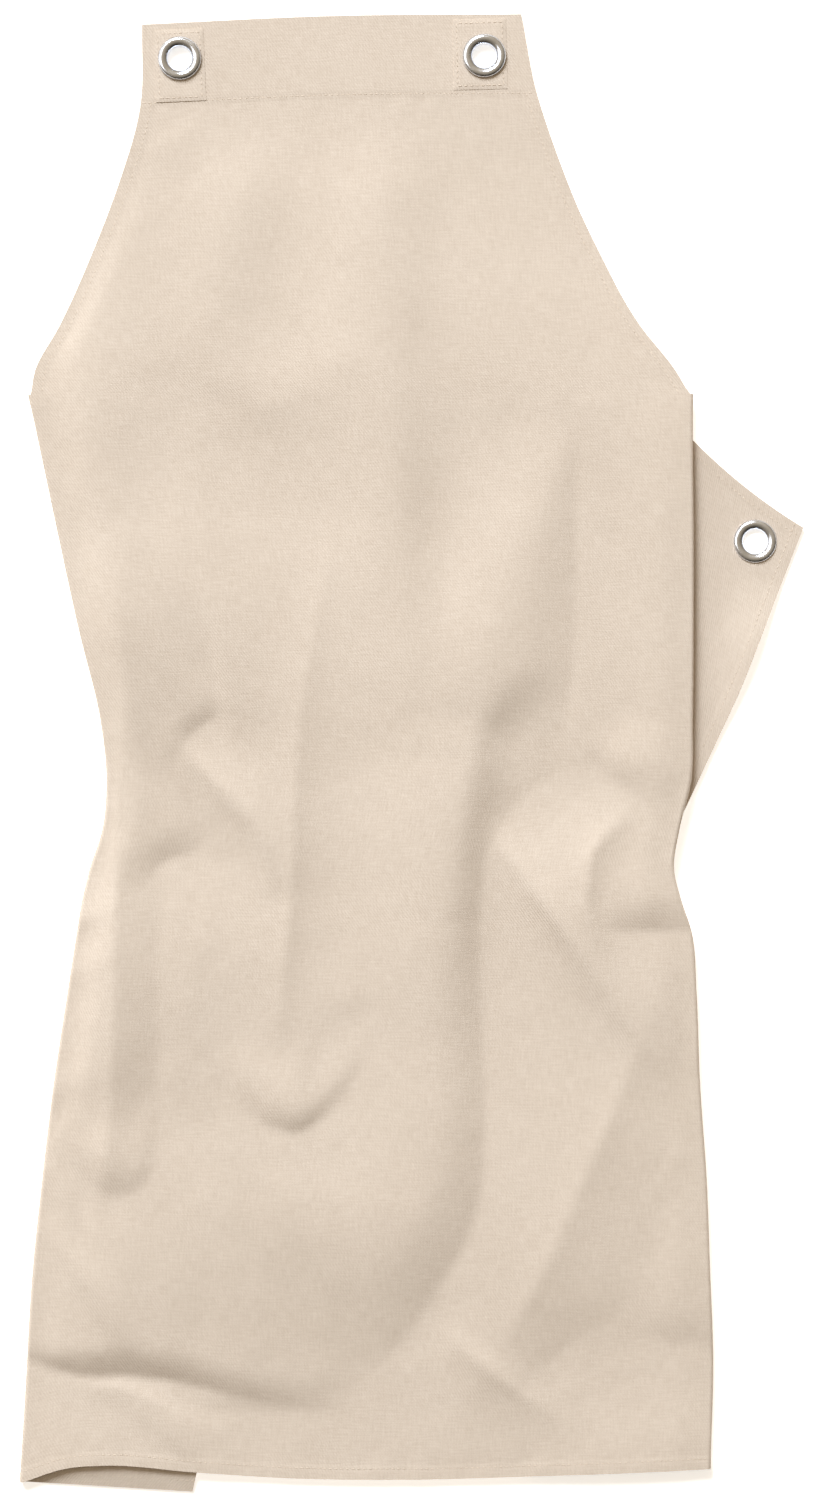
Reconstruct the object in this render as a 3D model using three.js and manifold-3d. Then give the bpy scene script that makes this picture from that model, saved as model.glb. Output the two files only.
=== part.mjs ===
// Bib apron of plain twill, lying face up with both sides of its skirt turned under the front.
// Millimetres, +Z up from the table, +Y towards the bib, +X to the side with the corner folded out.
import * as THREE from 'three';
import { mergeVertices } from 'three/addons/utils/BufferGeometryUtils.js';
import Module from 'manifold-3d';

const { clamp, degToRad, lerp, smoothstep } = THREE.MathUtils;

// Cloth
const CLOTH = 1.2;
const TOP_HEM = 1.9;
const PATCH = 1;
const GAP = 0.3;
const TOP_Y = 424;
const TOP_HEM_DEPTH = 48;
const ARM_CORNER = 216;
const CREASE_END_DOWN = 724;
const SKIRT_LENGTH = 842;
const HEM_BOW_START = 740;
const FOLD_EDGE_FADE = 26;
const FOLD_BIB_FADE = 60;

// Eyelets: a rounded flange on the face, a barrel through the cloth, a washer behind
const HOLE_RADIUS = 7;
const BARREL_RADIUS = 7.8;
const FLANGE_RADIUS = 12.6;
const FLANGE_HEIGHT = 1.5;
const FLANGE_EDGE = 0.5;
const CREST_INNER = 9.4;
const CREST_OUTER = 10.8;
const FLARE = 1.1;
const FLARE_HEIGHT = 0.9;
const WASHER_RADIUS = 11.9;
const WASHER = 0.9;
const ROUND_SIDES = 16;

// Middle of the cloth above the table where it lies bare, on a washer, and on a flange that faces down
const LAID = CLOTH / 2;
const ON_HEM_WASHER = WASHER + GAP + TOP_HEM / 2;
const ON_WASHER = WASHER + GAP + CLOTH / 2;
const ON_FLANGE = FLANGE_HEIGHT + GAP + CLOTH / 2;

// Grid of the sheet
const ROWS_PER_SECTION = 2;
const FRONT_COLUMNS = 22;
const UNDER_COLUMNS = 6;
const WING_COLUMNS = 5;
const ROLL_STEPS = 4;

// Side edges from the top edge to the arm corners, and the turned edges from there to the hem.
// down: distance below the top edge; left, right: x of the edge.
const BIB_EDGES = [
  { down: 0, left: -157, right: 63.5 },
  { down: TOP_HEM_DEPTH, left: -158, right: 73 },
  { down: 95, left: -171, right: 91 },
  { down: 132, left: -185, right: 108 },
  { down: 176, left: -204.5, right: 132 },
  { down: 203, left: -219, right: 153 },
  { down: ARM_CORNER, left: -221, right: 160.5 },
];
const SKIRT_EDGES = [
  { down: ARM_CORNER, left: -223, right: 163 },
  { down: 251, left: -215.5, right: 163 },
  { down: 289, left: -207.5, right: 163.5 },
  { down: 353, left: -193.5, right: 163.5 },
  { down: 405, left: -181, right: 163 },
  { down: 440, left: -177.5, right: 162 },
  { down: 469, left: -180, right: 155 },
  { down: 492, left: -187.5, right: 152 },
  { down: 509, left: -191.5, right: 156 },
  { down: 527, left: -194.5, right: 162 },
  { down: 562, left: -200, right: 165 },
  { down: 614, left: -208, right: 167 },
  { down: 672, left: -215, right: 171 },
  { down: CREASE_END_DOWN, left: -220.5, right: 173 },
  { down: 776, left: -224, right: 175 },
  { down: SKIRT_LENGTH, left: -228, right: 173.5 },
];

// Height of the front above the table without its folds: at the left edge, in the middle, at the right edge.
const FRONT_HEIGHTS = [
  { down: 0, left: ON_HEM_WASHER, middle: ON_HEM_WASHER, right: ON_HEM_WASHER },
  { down: TOP_HEM_DEPTH, left: ON_HEM_WASHER, middle: ON_HEM_WASHER, right: ON_HEM_WASHER },
  { down: 95, left: 2, middle: 3.4, right: 2.2 },
  { down: 132, left: 2.8, middle: 5.2, right: 4 },
  { down: 176, left: 4.8, middle: 7.2, right: 7.6 },
  { down: ARM_CORNER, left: 6, middle: 8, right: 9.4 },
  { down: 260, left: 6, middle: 8, right: 9.4 },
  { down: 620, left: 6, middle: 8, right: 9.4 },
  { down: CREASE_END_DOWN, left: 6, middle: 7, right: 8.4 },
  { down: SKIRT_LENGTH, left: 5.4, middle: 4.4, right: 5.2 },
];

// Height of the layers turned under, at the left and at the right.
const UNDER_HEIGHTS = [
  { down: ARM_CORNER, left: ON_FLANGE, right: 5 },
  { down: 290, left: ON_FLANGE, right: 5 },
  { down: 400, left: LAID, right: 5 },
  { down: 640, left: LAID, right: 5 },
  { down: CREASE_END_DOWN, left: LAID, right: 4.2 },
  { down: SKIRT_LENGTH, left: LAID, right: LAID },
];

// How far the top edge and the front hem leave a straight line, from the left edge (0) to the right edge (1)
const TOP_BOW = [
  { across: 0, up: -1 },
  { across: 0.5, up: 4 },
  { across: 1, up: 5 },
];
const HEM_BOW = [
  { across: 0, up: -5.5 },
  { across: 0.06, up: 2.5 },
  { across: 0.12, up: 4.5 },
  { across: 0.25, up: 0.5 },
  { across: 0.38, up: -3 },
  { across: 0.55, up: -4 },
  { across: 0.8, up: -1 },
  { across: 1, up: 2.5 },
];

// Free side edge of the left under layer: wing tip, waist, hem corner
const LEFT_FREE_EDGE = [
  { down: ARM_CORNER, x: -101.5, y: 210 },
  { down: 446, x: -45, y: -21.5 },
  { down: SKIRT_LENGTH, x: -127.5, y: -429.5 },
];

// Right under layer: the crease where its upper corner folds out again, then its free side edge
const CREASE_TOP = new THREE.Vector2(149.5, 202.5);
const CREASE_END = new THREE.Vector2(52, -300);
const RIGHT_HEM_CORNER = new THREE.Vector2(69, -420.5);
const CREASE_NARROWS = 0.85;
const CREASE_RADIUS_END = 1;

// Wing: the corner that is folded out
const WING_TIP = new THREE.Vector2(227.5, 131);
const WING_END_WIDTH = 8;
const ARM_CURVE_BOW = 9.5;
const ARM_BOW_FADE = 70;

// Folds of the front: crest line, crest height along it, reach of its gentle flank and of its steep flank.
// The steep flank lies to the left hand of someone who walks along the crest.
const FOLDS = [
  {
    name: 'long sweep from the right breast to the hem', gentle: 36, steep: 18,
    crest: [[83, 182, 1], [60, 112, 4], [48, 42, 8], [30, -21, 9], [21, -85, 9], [19, -143, 9], [21, -207, 9],
      [10, -262, 9], [-20, -313, 7], [-62, -345, 2]],
  },
  {
    name: 'ridge along the left edge', gentle: 26, steep: 16,
    crest: [[-186, 245, 1], [-178, 135, 4], [-172, 66, 6], [-172, -27, 6], [-175, -120, 7], [-181, -201, 8],
      [-188, -253, 1]],
  },
  {
    name: 'soft fold down the bib', gentle: 34, steep: 22,
    crest: [[-13, 356, 1], [-14, 251, 4], [-10, 158, 5], [-6, 66, 3], [-7, 8, 0]],
  },
  {
    name: 'waist fold left of the middle', gentle: 26, steep: 16,
    crest: [[-48, 153, 1], [-56, 89, 4], [-67, 19, 5], [-65, -74, 6], [-74, -149, 4], [-81, -187, 0]],
  },
  {
    name: 'swag below the waist fold', gentle: 30, steep: 14,
    crest: [[-16, -143, 1], [-39, -184, 5], [-71, -204, 7], [-100, -187, 4], [-111, -169, 0]],
  },
  {
    name: 'crease above the hem, left', gentle: 34, steep: 14,
    crest: [[-48, -359, 1], [-82, -359, 5], [-123, -345, 9], [-181, -342, 9], [-222, -343, 4]],
  },
  {
    name: 'hem roll, left', gentle: 36, steep: 14,
    crest: [[-222, -367, 4], [-169, -371, 5], [-120, -375, 4], [-65, -390, 1]],
  },
  {
    name: 'broad slope at the lower right', gentle: 38, steep: 26,
    crest: [[147, -135, 3], [115, -213, 6], [86, -282, 7], [58, -346, 2]],
  },
  {
    name: 'pinch at the right waist', gentle: 20, steep: 12,
    crest: [[158, -88, 5], [141, -85, 6], [121, -82, 1]],
  },
];
const CREST_STEPS = 30;

// Eyelets and the corner patches under the two on the bib
const EYELETS = [
  { name: 'bib_left', x: -135, y: 403.5, layers: [PATCH, TOP_HEM], faceDown: false },
  { name: 'bib_right', x: 42, y: 405, layers: [PATCH, TOP_HEM], faceDown: false },
  { name: 'side_right', x: 199.5, y: 123, layers: [CLOTH], faceDown: false },
  { name: 'side_left', x: -117, y: 186, layers: [CLOTH], faceDown: true },
];
const PATCHES = [
  { name: 'eyelet_patch_left', x: -135, y: 400, width: 29, height: 39, turn: 2.5, eyelet: EYELETS[0] },
  { name: 'eyelet_patch_right', x: 39.5, y: 406, width: 31, height: 41, turn: 1.5, eyelet: EYELETS[1] },
];

const clothMaterial = new THREE.MeshStandardMaterial({ color: 0xe1d1c1, roughness: 0.95, metalness: 0 });
const patchMaterial = new THREE.MeshStandardMaterial({ color: 0xe4d5c5, roughness: 0.95, metalness: 0 });
const nickelMaterial = new THREE.MeshStandardMaterial({ color: 0xd9d9db, roughness: 0.25, metalness: 1 });
const washerMaterial = new THREE.MeshStandardMaterial({ color: 0xc9c9cc, roughness: 0.4, metalness: 1 });

const wasm = await Module();
wasm.setup();

const fractions = (steps) => Array.from({ length: steps + 1 }, (_, k) => k / steps);

// Reads a table at any value of its first column, with a smooth curve through the rows.
function tableReader(table) {
  const names = Object.keys(table[0]);
  const places = table.map((row) => row[names[0]]);
  const values = table.flatMap((row) => names.map((name) => row[name]));
  const track = new THREE.CubicInterpolant(places, values, names.length);
  return (place) => {
    const found = track.evaluate(place);
    return Object.fromEntries(names.map((name, k) => [name, found[k]]));
  };
}

const bibEdgesAt = tableReader(BIB_EDGES);
const skirtEdgesAt = tableReader(SKIRT_EDGES);
const frontHeightsAt = tableReader(FRONT_HEIGHTS);
const underHeightsAt = tableReader(UNDER_HEIGHTS);
const topBowAt = tableReader(TOP_BOW);
const hemBowAt = tableReader(HEM_BOW);
const leftFreeEdgeAt = tableReader(LEFT_FREE_EDGE);

// Distances down the sheet of all rows between the first and the last row of a table.
function rowPlaces(table) {
  const places = [table[0].down];
  for (let k = 1; k < table.length; k++) {
    for (let step = 1; step <= ROWS_PER_SECTION; step++) {
      places.push(lerp(table[k - 1].down, table[k].down, step / ROWS_PER_SECTION));
    }
  }
  return places;
}

const crestLines = FOLDS.map((fold) => {
  const points = fold.crest.map(([x, y, height]) => new THREE.Vector3(x, y, height));
  return new THREE.CatmullRomCurve3(points).getPoints(CREST_STEPS);
});

// Height that one fold gives the cloth at a place.
function foldRise(fold, crest, x, y) {
  let nearest = Infinity;
  let height = 0;
  let reach = 1;
  for (let k = 1; k < crest.length; k++) {
    const a = crest[k - 1];
    const b = crest[k];
    const alongX = b.x - a.x;
    const alongY = b.y - a.y;
    const t = clamp(((x - a.x) * alongX + (y - a.y) * alongY) / (alongX ** 2 + alongY ** 2), 0, 1);
    const offX = x - lerp(a.x, b.x, t);
    const offY = y - lerp(a.y, b.y, t);
    const distance = Math.hypot(offX, offY);
    if (distance < nearest) {
      nearest = distance;
      height = Math.max(0, lerp(a.z, b.z, t));
      reach = alongX * offY - alongY * offX > 0 ? fold.steep : fold.gentle;
    }
  }
  return height * Math.exp(-((nearest / reach) ** 2));
}

// One row of the front, from its left edge to its right edge.
function frontRow(down, leftX, rightX) {
  const heights = frontHeightsAt(down);
  const bibFade = smoothstep(down, TOP_HEM_DEPTH, TOP_HEM_DEPTH + FOLD_BIB_FADE);
  const topShare = 1 - smoothstep(down, 0, TOP_HEM_DEPTH);
  const hemShare = smoothstep(down, HEM_BOW_START, SKIRT_LENGTH);
  return fractions(FRONT_COLUMNS).map((u) => {
    const x = lerp(leftX, rightX, u);
    const y = TOP_Y - down + topShare * topBowAt(u).up + hemShare * hemBowAt(u).up;
    const sideHeight = (1 - u) * (1 - 2 * u) * heights.left + u * (2 * u - 1) * heights.right;
    const edgeFade = smoothstep(Math.min(u, 1 - u) * (rightX - leftX), 0, FOLD_EDGE_FADE);
    const folds = FOLDS.reduce((sum, fold, k) => sum + foldRise(fold, crestLines[k], x, y), 0);
    const laidHeight = sideHeight + 4 * u * (1 - u) * heights.middle;
    return new THREE.Vector3(x, y, laidHeight + folds * edgeFade * bibFade);
  });
}

// Half turn of the cloth round an edge, from the layer on top to the layer below.
function turnUnder(upper, outward, radius) {
  return fractions(ROLL_STEPS).map((f) => new THREE.Vector3(
    upper.x + outward.x * radius * Math.sin(Math.PI * f),
    upper.y + outward.y * radius * Math.sin(Math.PI * f),
    upper.z - radius * (1 - Math.cos(Math.PI * f)),
  ));
}

// A straight run of the cloth between two points, bowed sideways in the plane of the table.
function run(from, to, columns, bow) {
  return fractions(columns).map((u) => {
    const point = new THREE.Vector3().lerpVectors(from, to, u);
    point.y -= 4 * u * (1 - u) * bow;
    return point;
  });
}

const creaseLine = new THREE.Vector2().subVectors(CREASE_TOP, CREASE_END).normalize();
const creaseOutward = new THREE.Vector2(-creaseLine.y, creaseLine.x);
const creaseShare = (down) => (down - ARM_CORNER) / (CREASE_END_DOWN - ARM_CORNER);

// Inner edge of the right under layer: the crease, and below its end the free side edge.
function rightInnerEdge(down) {
  if (down <= CREASE_END_DOWN) {
    return new THREE.Vector2().lerpVectors(CREASE_TOP, CREASE_END, creaseShare(down));
  }
  const share = (down - CREASE_END_DOWN) / (SKIRT_LENGTH - CREASE_END_DOWN);
  return new THREE.Vector2().lerpVectors(CREASE_END, RIGHT_HEM_CORNER, share);
}

// The wing's part of a row: round the crease, then out to the wing's side edge.
function wingRow(down, inner, bow) {
  const share = creaseShare(down);
  const radius = lerp((inner.z - ON_WASHER) / 2, CREASE_RADIUS_END, smoothstep(share, CREASE_NARROWS, 1));
  const roll = turnUnder(inner, creaseOutward, radius);
  const across = new THREE.Vector2().subVectors(WING_TIP, CREASE_TOP);
  across.setLength(lerp(across.length(), WING_END_WIDTH, share));
  const start = roll[ROLL_STEPS];
  const edge = new THREE.Vector3(start.x + across.x, start.y + across.y, start.z);
  return [...roll.slice(1), ...run(start, edge, WING_COLUMNS, bow).slice(1)];
}

// One row of the skirt, unfolded: left under layer, front, right under layer, wing.
function skirtRow(down) {
  const edges = skirtEdgesAt(down);
  const heights = frontHeightsAt(down);
  const under = underHeightsAt(down);
  const underLeft = Math.max(LAID, under.left);
  const leftRadius = (heights.left - underLeft) / 2;
  const rightRadius = (heights.right - under.right) / 2;
  const front = frontRow(down, edges.left + leftRadius + CLOTH / 2, edges.right - rightRadius - CLOTH / 2);
  const armBow = ARM_CURVE_BOW * (1 - smoothstep(down, ARM_CORNER, ARM_CORNER + ARM_BOW_FADE));

  const leftRoll = turnUnder(front[0], new THREE.Vector2(-1, 0), leftRadius);
  const freeEdge = leftFreeEdgeAt(down);
  const leftEdge = new THREE.Vector3(freeEdge.x, freeEdge.y, underLeft);
  const leftLayer = run(leftRoll[ROLL_STEPS], leftEdge, UNDER_COLUMNS, armBow);

  const rightRoll = turnUnder(front[FRONT_COLUMNS], new THREE.Vector2(1, 0), rightRadius);
  const innerEdge = rightInnerEdge(down);
  const inner = new THREE.Vector3(innerEdge.x, innerEdge.y, under.right);
  const rightLayer = run(rightRoll[ROLL_STEPS], inner, UNDER_COLUMNS, 0);

  return {
    front,
    sheet: [
      ...leftLayer.slice(1).reverse(),
      ...leftRoll.slice(1).reverse(),
      ...front,
      ...rightRoll.slice(1),
      ...rightLayer.slice(1),
    ],
    wing: down <= CREASE_END_DOWN ? wingRow(down, inner, armBow) : [],
  };
}

// Adds the triangles between rows of points to a list of corners.
function addRows(corners, rows) {
  for (let i = 1; i < rows.length; i++) {
    for (let j = 1; j < rows[i].length; j++) {
      const [a, b, c, d] = [rows[i - 1][j - 1], rows[i][j - 1], rows[i][j], rows[i - 1][j]];
      corners.push(a, b, c, a, c, d);
    }
  }
}

// Middle surface of the whole sheet.
function sheetSurface() {
  const skirtPlaces = rowPlaces(SKIRT_EDGES);
  const skirtRows = skirtPlaces.map(skirtRow);
  const bibRows = rowPlaces(BIB_EDGES).slice(0, -1).map((down) => {
    const edges = bibEdgesAt(down);
    return frontRow(down, edges.left, edges.right);
  });
  const creaseEndRow = skirtPlaces.indexOf(CREASE_END_DOWN);
  const corners = [];
  addRows(corners, [...bibRows, skirtRows[0].front]);
  addRows(corners, skirtRows.slice(0, creaseEndRow + 1).map((row) => [...row.sheet, ...row.wing]));
  addRows(corners, skirtRows.slice(creaseEndRow).map((row) => row.sheet));
  return mergeVertices(new THREE.BufferGeometry().setFromPoints(corners));
}

// Closed wall round a middle surface, with half of its thickness on each side.
function wallAround(surface, thicknessAt) {
  surface.computeVertexNormals();
  const { position, normal } = surface.attributes;
  const index = surface.index.array;
  const count = position.count;
  const vertProperties = new Float32Array(count * 6);
  const point = new THREE.Vector3();
  const away = new THREE.Vector3();
  for (let k = 0; k < count; k++) {
    point.fromBufferAttribute(position, k);
    away.fromBufferAttribute(normal, k).multiplyScalar(thicknessAt(point) / 2);
    vertProperties.set([point.x + away.x, point.y + away.y, point.z + away.z], k * 3);
    vertProperties.set([point.x - away.x, point.y - away.y, point.z - away.z], (count + k) * 3);
  }
  const faces = [];
  const rim = new Map();
  for (let k = 0; k < index.length; k += 3) {
    const face = [index[k], index[k + 1], index[k + 2]];
    faces.push(...face, face[2] + count, face[1] + count, face[0] + count);
    for (let side = 0; side < 3; side++) {
      const from = face[side];
      const to = face[(side + 1) % 3];
      if (!rim.delete(`${to} ${from}`)) rim.set(`${from} ${to}`, [from, to]);
    }
  }
  for (const [from, to] of rim.values()) {
    faces.push(to, from, from + count, to, from + count, to + count);
  }
  return new wasm.Manifold(new wasm.Mesh({ numProp: 3, vertProperties, triVerts: new Uint32Array(faces) }));
}

// Closed three.js geometry as a solid that can be cut.
function solidOf(geometry) {
  geometry.deleteAttribute('normal');
  geometry.deleteAttribute('uv');
  const merged = mergeVertices(geometry);
  return new wasm.Manifold(new wasm.Mesh({
    numProp: 3,
    vertProperties: new Float32Array(merged.attributes.position.array),
    triVerts: new Uint32Array(merged.index.array),
  }));
}

function geometryOf(solid) {
  const mesh = solid.getMesh();
  const geometry = new THREE.BufferGeometry();
  geometry.setAttribute('position', new THREE.BufferAttribute(mesh.vertProperties, 3));
  geometry.setIndex(new THREE.BufferAttribute(mesh.triVerts, 1));
  geometry.computeVertexNormals();
  return geometry;
}

// Round piece from a closed profile of [radius, height] points, standing on Z.
function turned(profile) {
  const points = [...profile, profile[0]].map(([radius, height]) => new THREE.Vector2(radius, height));
  return new THREE.LatheGeometry(points, ROUND_SIDES).rotateX(Math.PI / 2);
}

// Depth from the underside of an eyelet's flange to the washer behind the cloth.
const gripDepth = (layers) => layers.reduce((sum, layer) => sum + layer + GAP, GAP);

function flangeGeometry(layers) {
  const end = -(gripDepth(layers) + WASHER);
  const wall = BARREL_RADIUS - HOLE_RADIUS;
  return turned([
    [FLANGE_RADIUS, 0],
    [FLANGE_RADIUS, FLANGE_EDGE],
    [CREST_OUTER, FLANGE_HEIGHT],
    [CREST_INNER, FLANGE_HEIGHT],
    [HOLE_RADIUS, FLANGE_EDGE],
    [HOLE_RADIUS, end + FLARE_HEIGHT],
    [HOLE_RADIUS + FLARE, end],
    [HOLE_RADIUS + FLARE + wall, end],
    [BARREL_RADIUS, end + FLARE_HEIGHT],
    [BARREL_RADIUS, 0],
  ]);
}

function washerGeometry(layers) {
  const top = -gripDepth(layers);
  return turned([
    [BARREL_RADIUS + FLARE + GAP, top - WASHER],
    [WASHER_RADIUS, top - WASHER],
    [WASHER_RADIUS, top],
    [BARREL_RADIUS + GAP, top],
  ]);
}

// Eyelet and washer in their seat: the lower of the two stands on the table.
function eyeletGroup(eyelet) {
  const group = new THREE.Group();
  const flange = new THREE.Mesh(flangeGeometry(eyelet.layers), nickelMaterial);
  flange.name = `eyelet_${eyelet.name}`;
  const washer = new THREE.Mesh(washerGeometry(eyelet.layers), washerMaterial);
  washer.name = `washer_${eyelet.name}`;
  group.add(flange, washer);
  group.rotation.x = eyelet.faceDown ? Math.PI : 0;
  const seat = eyelet.faceDown ? FLANGE_HEIGHT : gripDepth(eyelet.layers) + WASHER;
  group.position.set(eyelet.x, eyelet.y, seat);
  return group;
}

// Round hole for a barrel in the layer that the eyelet grips, clear of the layers above it.
function holeCutter(eyelet) {
  const depth = FLANGE_HEIGHT + gripDepth(eyelet.layers) + WASHER;
  const cutter = new THREE.CylinderGeometry(BARREL_RADIUS + GAP, BARREL_RADIUS + GAP, depth, ROUND_SIDES);
  return solidOf(cutter.rotateX(Math.PI / 2).translate(eyelet.x, eyelet.y, depth / 2));
}

function apronBody() {
  const thicknessAt = (point) => (point.y > TOP_Y - TOP_HEM_DEPTH - GAP ? TOP_HEM : CLOTH);
  const sheet = wallAround(sheetSurface(), thicknessAt);
  const pierced = EYELETS.reduce((solid, eyelet) => solid.subtract(holeCutter(eyelet)), sheet);
  const body = new THREE.Mesh(geometryOf(pierced), clothMaterial);
  body.name = 'apron_body';
  return body;
}

function cornerPatch(patch) {
  const outline = new THREE.Shape();
  outline.moveTo(-patch.width / 2, -patch.height / 2);
  outline.lineTo(patch.width / 2, -patch.height / 2);
  outline.lineTo(patch.width / 2, patch.height / 2);
  outline.lineTo(-patch.width / 2, patch.height / 2);
  const centre = new THREE.Vector2(patch.eyelet.x - patch.x, patch.eyelet.y - patch.y);
  centre.rotateAround(new THREE.Vector2(), degToRad(-patch.turn));
  const hole = new THREE.Path().absarc(centre.x, centre.y, BARREL_RADIUS + GAP, 0, 2 * Math.PI, true);
  outline.holes.push(hole);
  const geometry = new THREE.ExtrudeGeometry(outline, {
    depth: PATCH,
    bevelEnabled: false,
    curveSegments: ROUND_SIDES,
  });
  const mesh = new THREE.Mesh(geometry, patchMaterial);
  mesh.name = patch.name;
  mesh.rotation.z = degToRad(patch.turn);
  mesh.position.set(patch.x, patch.y, ON_HEM_WASHER + TOP_HEM / 2 + GAP);
  return mesh;
}

const apron = new THREE.Group();
apron.add(apronBody(), ...PATCHES.map(cornerPatch), ...EYELETS.map(eyeletGroup));

export default apron;
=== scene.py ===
import math
import bmesh
import bpy
import numpy as np
from mathutils import Matrix, Vector, noise


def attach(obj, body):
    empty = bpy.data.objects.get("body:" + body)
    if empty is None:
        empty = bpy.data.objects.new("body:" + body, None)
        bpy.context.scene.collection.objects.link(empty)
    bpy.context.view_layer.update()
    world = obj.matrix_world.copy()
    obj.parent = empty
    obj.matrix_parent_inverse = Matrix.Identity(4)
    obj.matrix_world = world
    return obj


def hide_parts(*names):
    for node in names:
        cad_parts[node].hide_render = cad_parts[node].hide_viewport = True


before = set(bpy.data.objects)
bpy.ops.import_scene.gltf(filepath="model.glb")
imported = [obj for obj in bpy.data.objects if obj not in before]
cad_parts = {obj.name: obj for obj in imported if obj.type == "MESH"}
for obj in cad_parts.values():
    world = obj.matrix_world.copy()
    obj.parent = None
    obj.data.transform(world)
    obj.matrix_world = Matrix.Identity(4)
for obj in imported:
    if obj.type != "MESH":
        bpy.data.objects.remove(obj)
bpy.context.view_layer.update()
print("frame loaded,", len(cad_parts), "CAD nodes")

scene = bpy.context.scene
mm = 0.001  # sizes are in millimetres, those of the studio in metres


def linearColour(hexText):
    parts = [int(hexText[k:k + 2], 16) / 255 for k in (1, 3, 5)]
    return tuple(p / 12.92 if p <= 0.04045 else ((p + 0.055) / 1.055) ** 2.4 for p in parts) + (1.0,)


# the wave pattern repeats every 2 pi / 20 at a scale of 1
def waveScale(spacing):
    return 2 * math.pi / 20 / (spacing * mm)


def addNode(tree, kind, settings, links):
    node = tree.nodes.new(kind)
    for name, value in settings.items():
        if isinstance(name, str) and hasattr(node, name):
            setattr(node, name, value)
        else:
            node.inputs[name].default_value = value
    for name, source in links.items():
        tree.links.new(source, node.inputs[name])
    return node


def newMaterial(name):
    material = bpy.data.materials.new(name)
    material.use_nodes = True
    material.node_tree.nodes.clear()
    return material, material.node_tree


# twill of cotton and polyester, woven and pressed: matt, with slanting wales, slubs and a faint bloom
twill = {
    "light": "#dccfc2",
    "dark": "#d1c3b5",
    "bloom": "#fff4e6",
    "wale": 1.5,  # real wales are 0.6 mm apart, too fine for the render, so they are drawn coarser
    "waleSlant": 58,  # degrees from the weft
    "slubWide": 0.9,
    "slubLong": 9,
    "cloud": 55,  # slow change of tone over the cloth
    "slubTone": 2.0,  # slubs against clouds in the tone
    "toneRange": (1.9, 3.1),
    "slubRise": 0.6,  # slubs against wales in the relief
    "relief": 0.12,
    "slubRange": (0.6, 1.4),
    "roughness": (0.97, 0.84),  # between the slubs and on them
}


def twillMaterial(name):
    material, tree = newMaterial(name)
    weave = addNode(tree, "ShaderNodeUVMap", {"uv_map": "weave"}, {}).outputs["UV"]
    slant = addNode(tree, "ShaderNodeMapping", {"Rotation": (0, 0, math.radians(twill["waleSlant"] - 90))},
                    {"Vector": weave})
    wales = addNode(tree, "ShaderNodeTexWave", {
        "wave_type": "BANDS", "bands_direction": "X", "Scale": waveScale(twill["wale"]),
        "Distortion": 1.2, "Detail": 1.0, "Detail Scale": 2.0}, {"Vector": slant.outputs["Vector"]})
    slubs = []
    for wide, long in ((twill["slubWide"], twill["slubLong"]), (twill["slubLong"], twill["slubWide"])):
        stretched = addNode(tree, "ShaderNodeMapping", {"Scale": (1 / (wide * mm), 1 / (long * mm), 1)},
                            {"Vector": weave})
        slubs.append(addNode(tree, "ShaderNodeTexNoise", {"Scale": 1.0, "Detail": 2.0},
                             {"Vector": stretched.outputs["Vector"]}))
    threads = addNode(tree, "ShaderNodeMath", {"operation": "ADD"},
                      {0: slubs[0].outputs["Fac"], 1: slubs[1].outputs["Fac"]})
    cloud = addNode(tree, "ShaderNodeTexNoise", {"Scale": 1 / (twill["cloud"] * mm), "Detail": 3.0},
                    {"Vector": weave})
    tone = addNode(tree, "ShaderNodeMath", {"operation": "MULTIPLY_ADD", 1: twill["slubTone"]},
                   {0: threads.outputs["Value"], 2: cloud.outputs["Fac"]})
    spread = addNode(tree, "ShaderNodeMapRange", {
        "From Min": twill["toneRange"][0], "From Max": twill["toneRange"][1]},
        {"Value": tone.outputs["Value"]})
    colour = addNode(tree, "ShaderNodeMix", {
        "data_type": "RGBA", 6: linearColour(twill["dark"]), 7: linearColour(twill["light"])},
        {0: spread.outputs["Result"]})
    height = addNode(tree, "ShaderNodeMath", {"operation": "MULTIPLY_ADD", 1: twill["slubRise"]},
                     {0: threads.outputs["Value"], 2: wales.outputs["Fac"]})
    bump = addNode(tree, "ShaderNodeBump", {"Strength": 1.0, "Distance": twill["relief"] * mm},
                   {"Height": height.outputs["Value"]})
    rough = addNode(tree, "ShaderNodeMapRange", {
        "From Min": twill["slubRange"][0], "From Max": twill["slubRange"][1],
        "To Min": twill["roughness"][0], "To Max": twill["roughness"][1]},
        {"Value": threads.outputs["Value"]})
    shader = addNode(tree, "ShaderNodeBsdfPrincipled", {
        "IOR": 1.46, "Specular IOR Level": 0.25, "Sheen Weight": 0.12, "Sheen Roughness": 0.5,
        "Sheen Tint": linearColour(twill["bloom"])},
        {"Base Color": colour.outputs[2], "Roughness": rough.outputs["Result"],
         "Normal": bump.outputs["Normal"]})
    addNode(tree, "ShaderNodeOutputMaterial", {}, {"Surface": shader.outputs["BSDF"]})
    return material


# bright nickel plate on pressed brass: clear reflections, a little haze from handling
nickel = {
    "bright": "#e9edf6",
    "dull": "#cbd0da",
    "faceRoughness": 0.14,
    "backRoughness": 0.26,
    "hazeRoughness": 0.14,  # added where the haze is
    "haze": 5,
    "hazeRange": (0.3, 0.7),
    "scratch": 0.7,
    "scratchDepth": 0.02,
}


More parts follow.
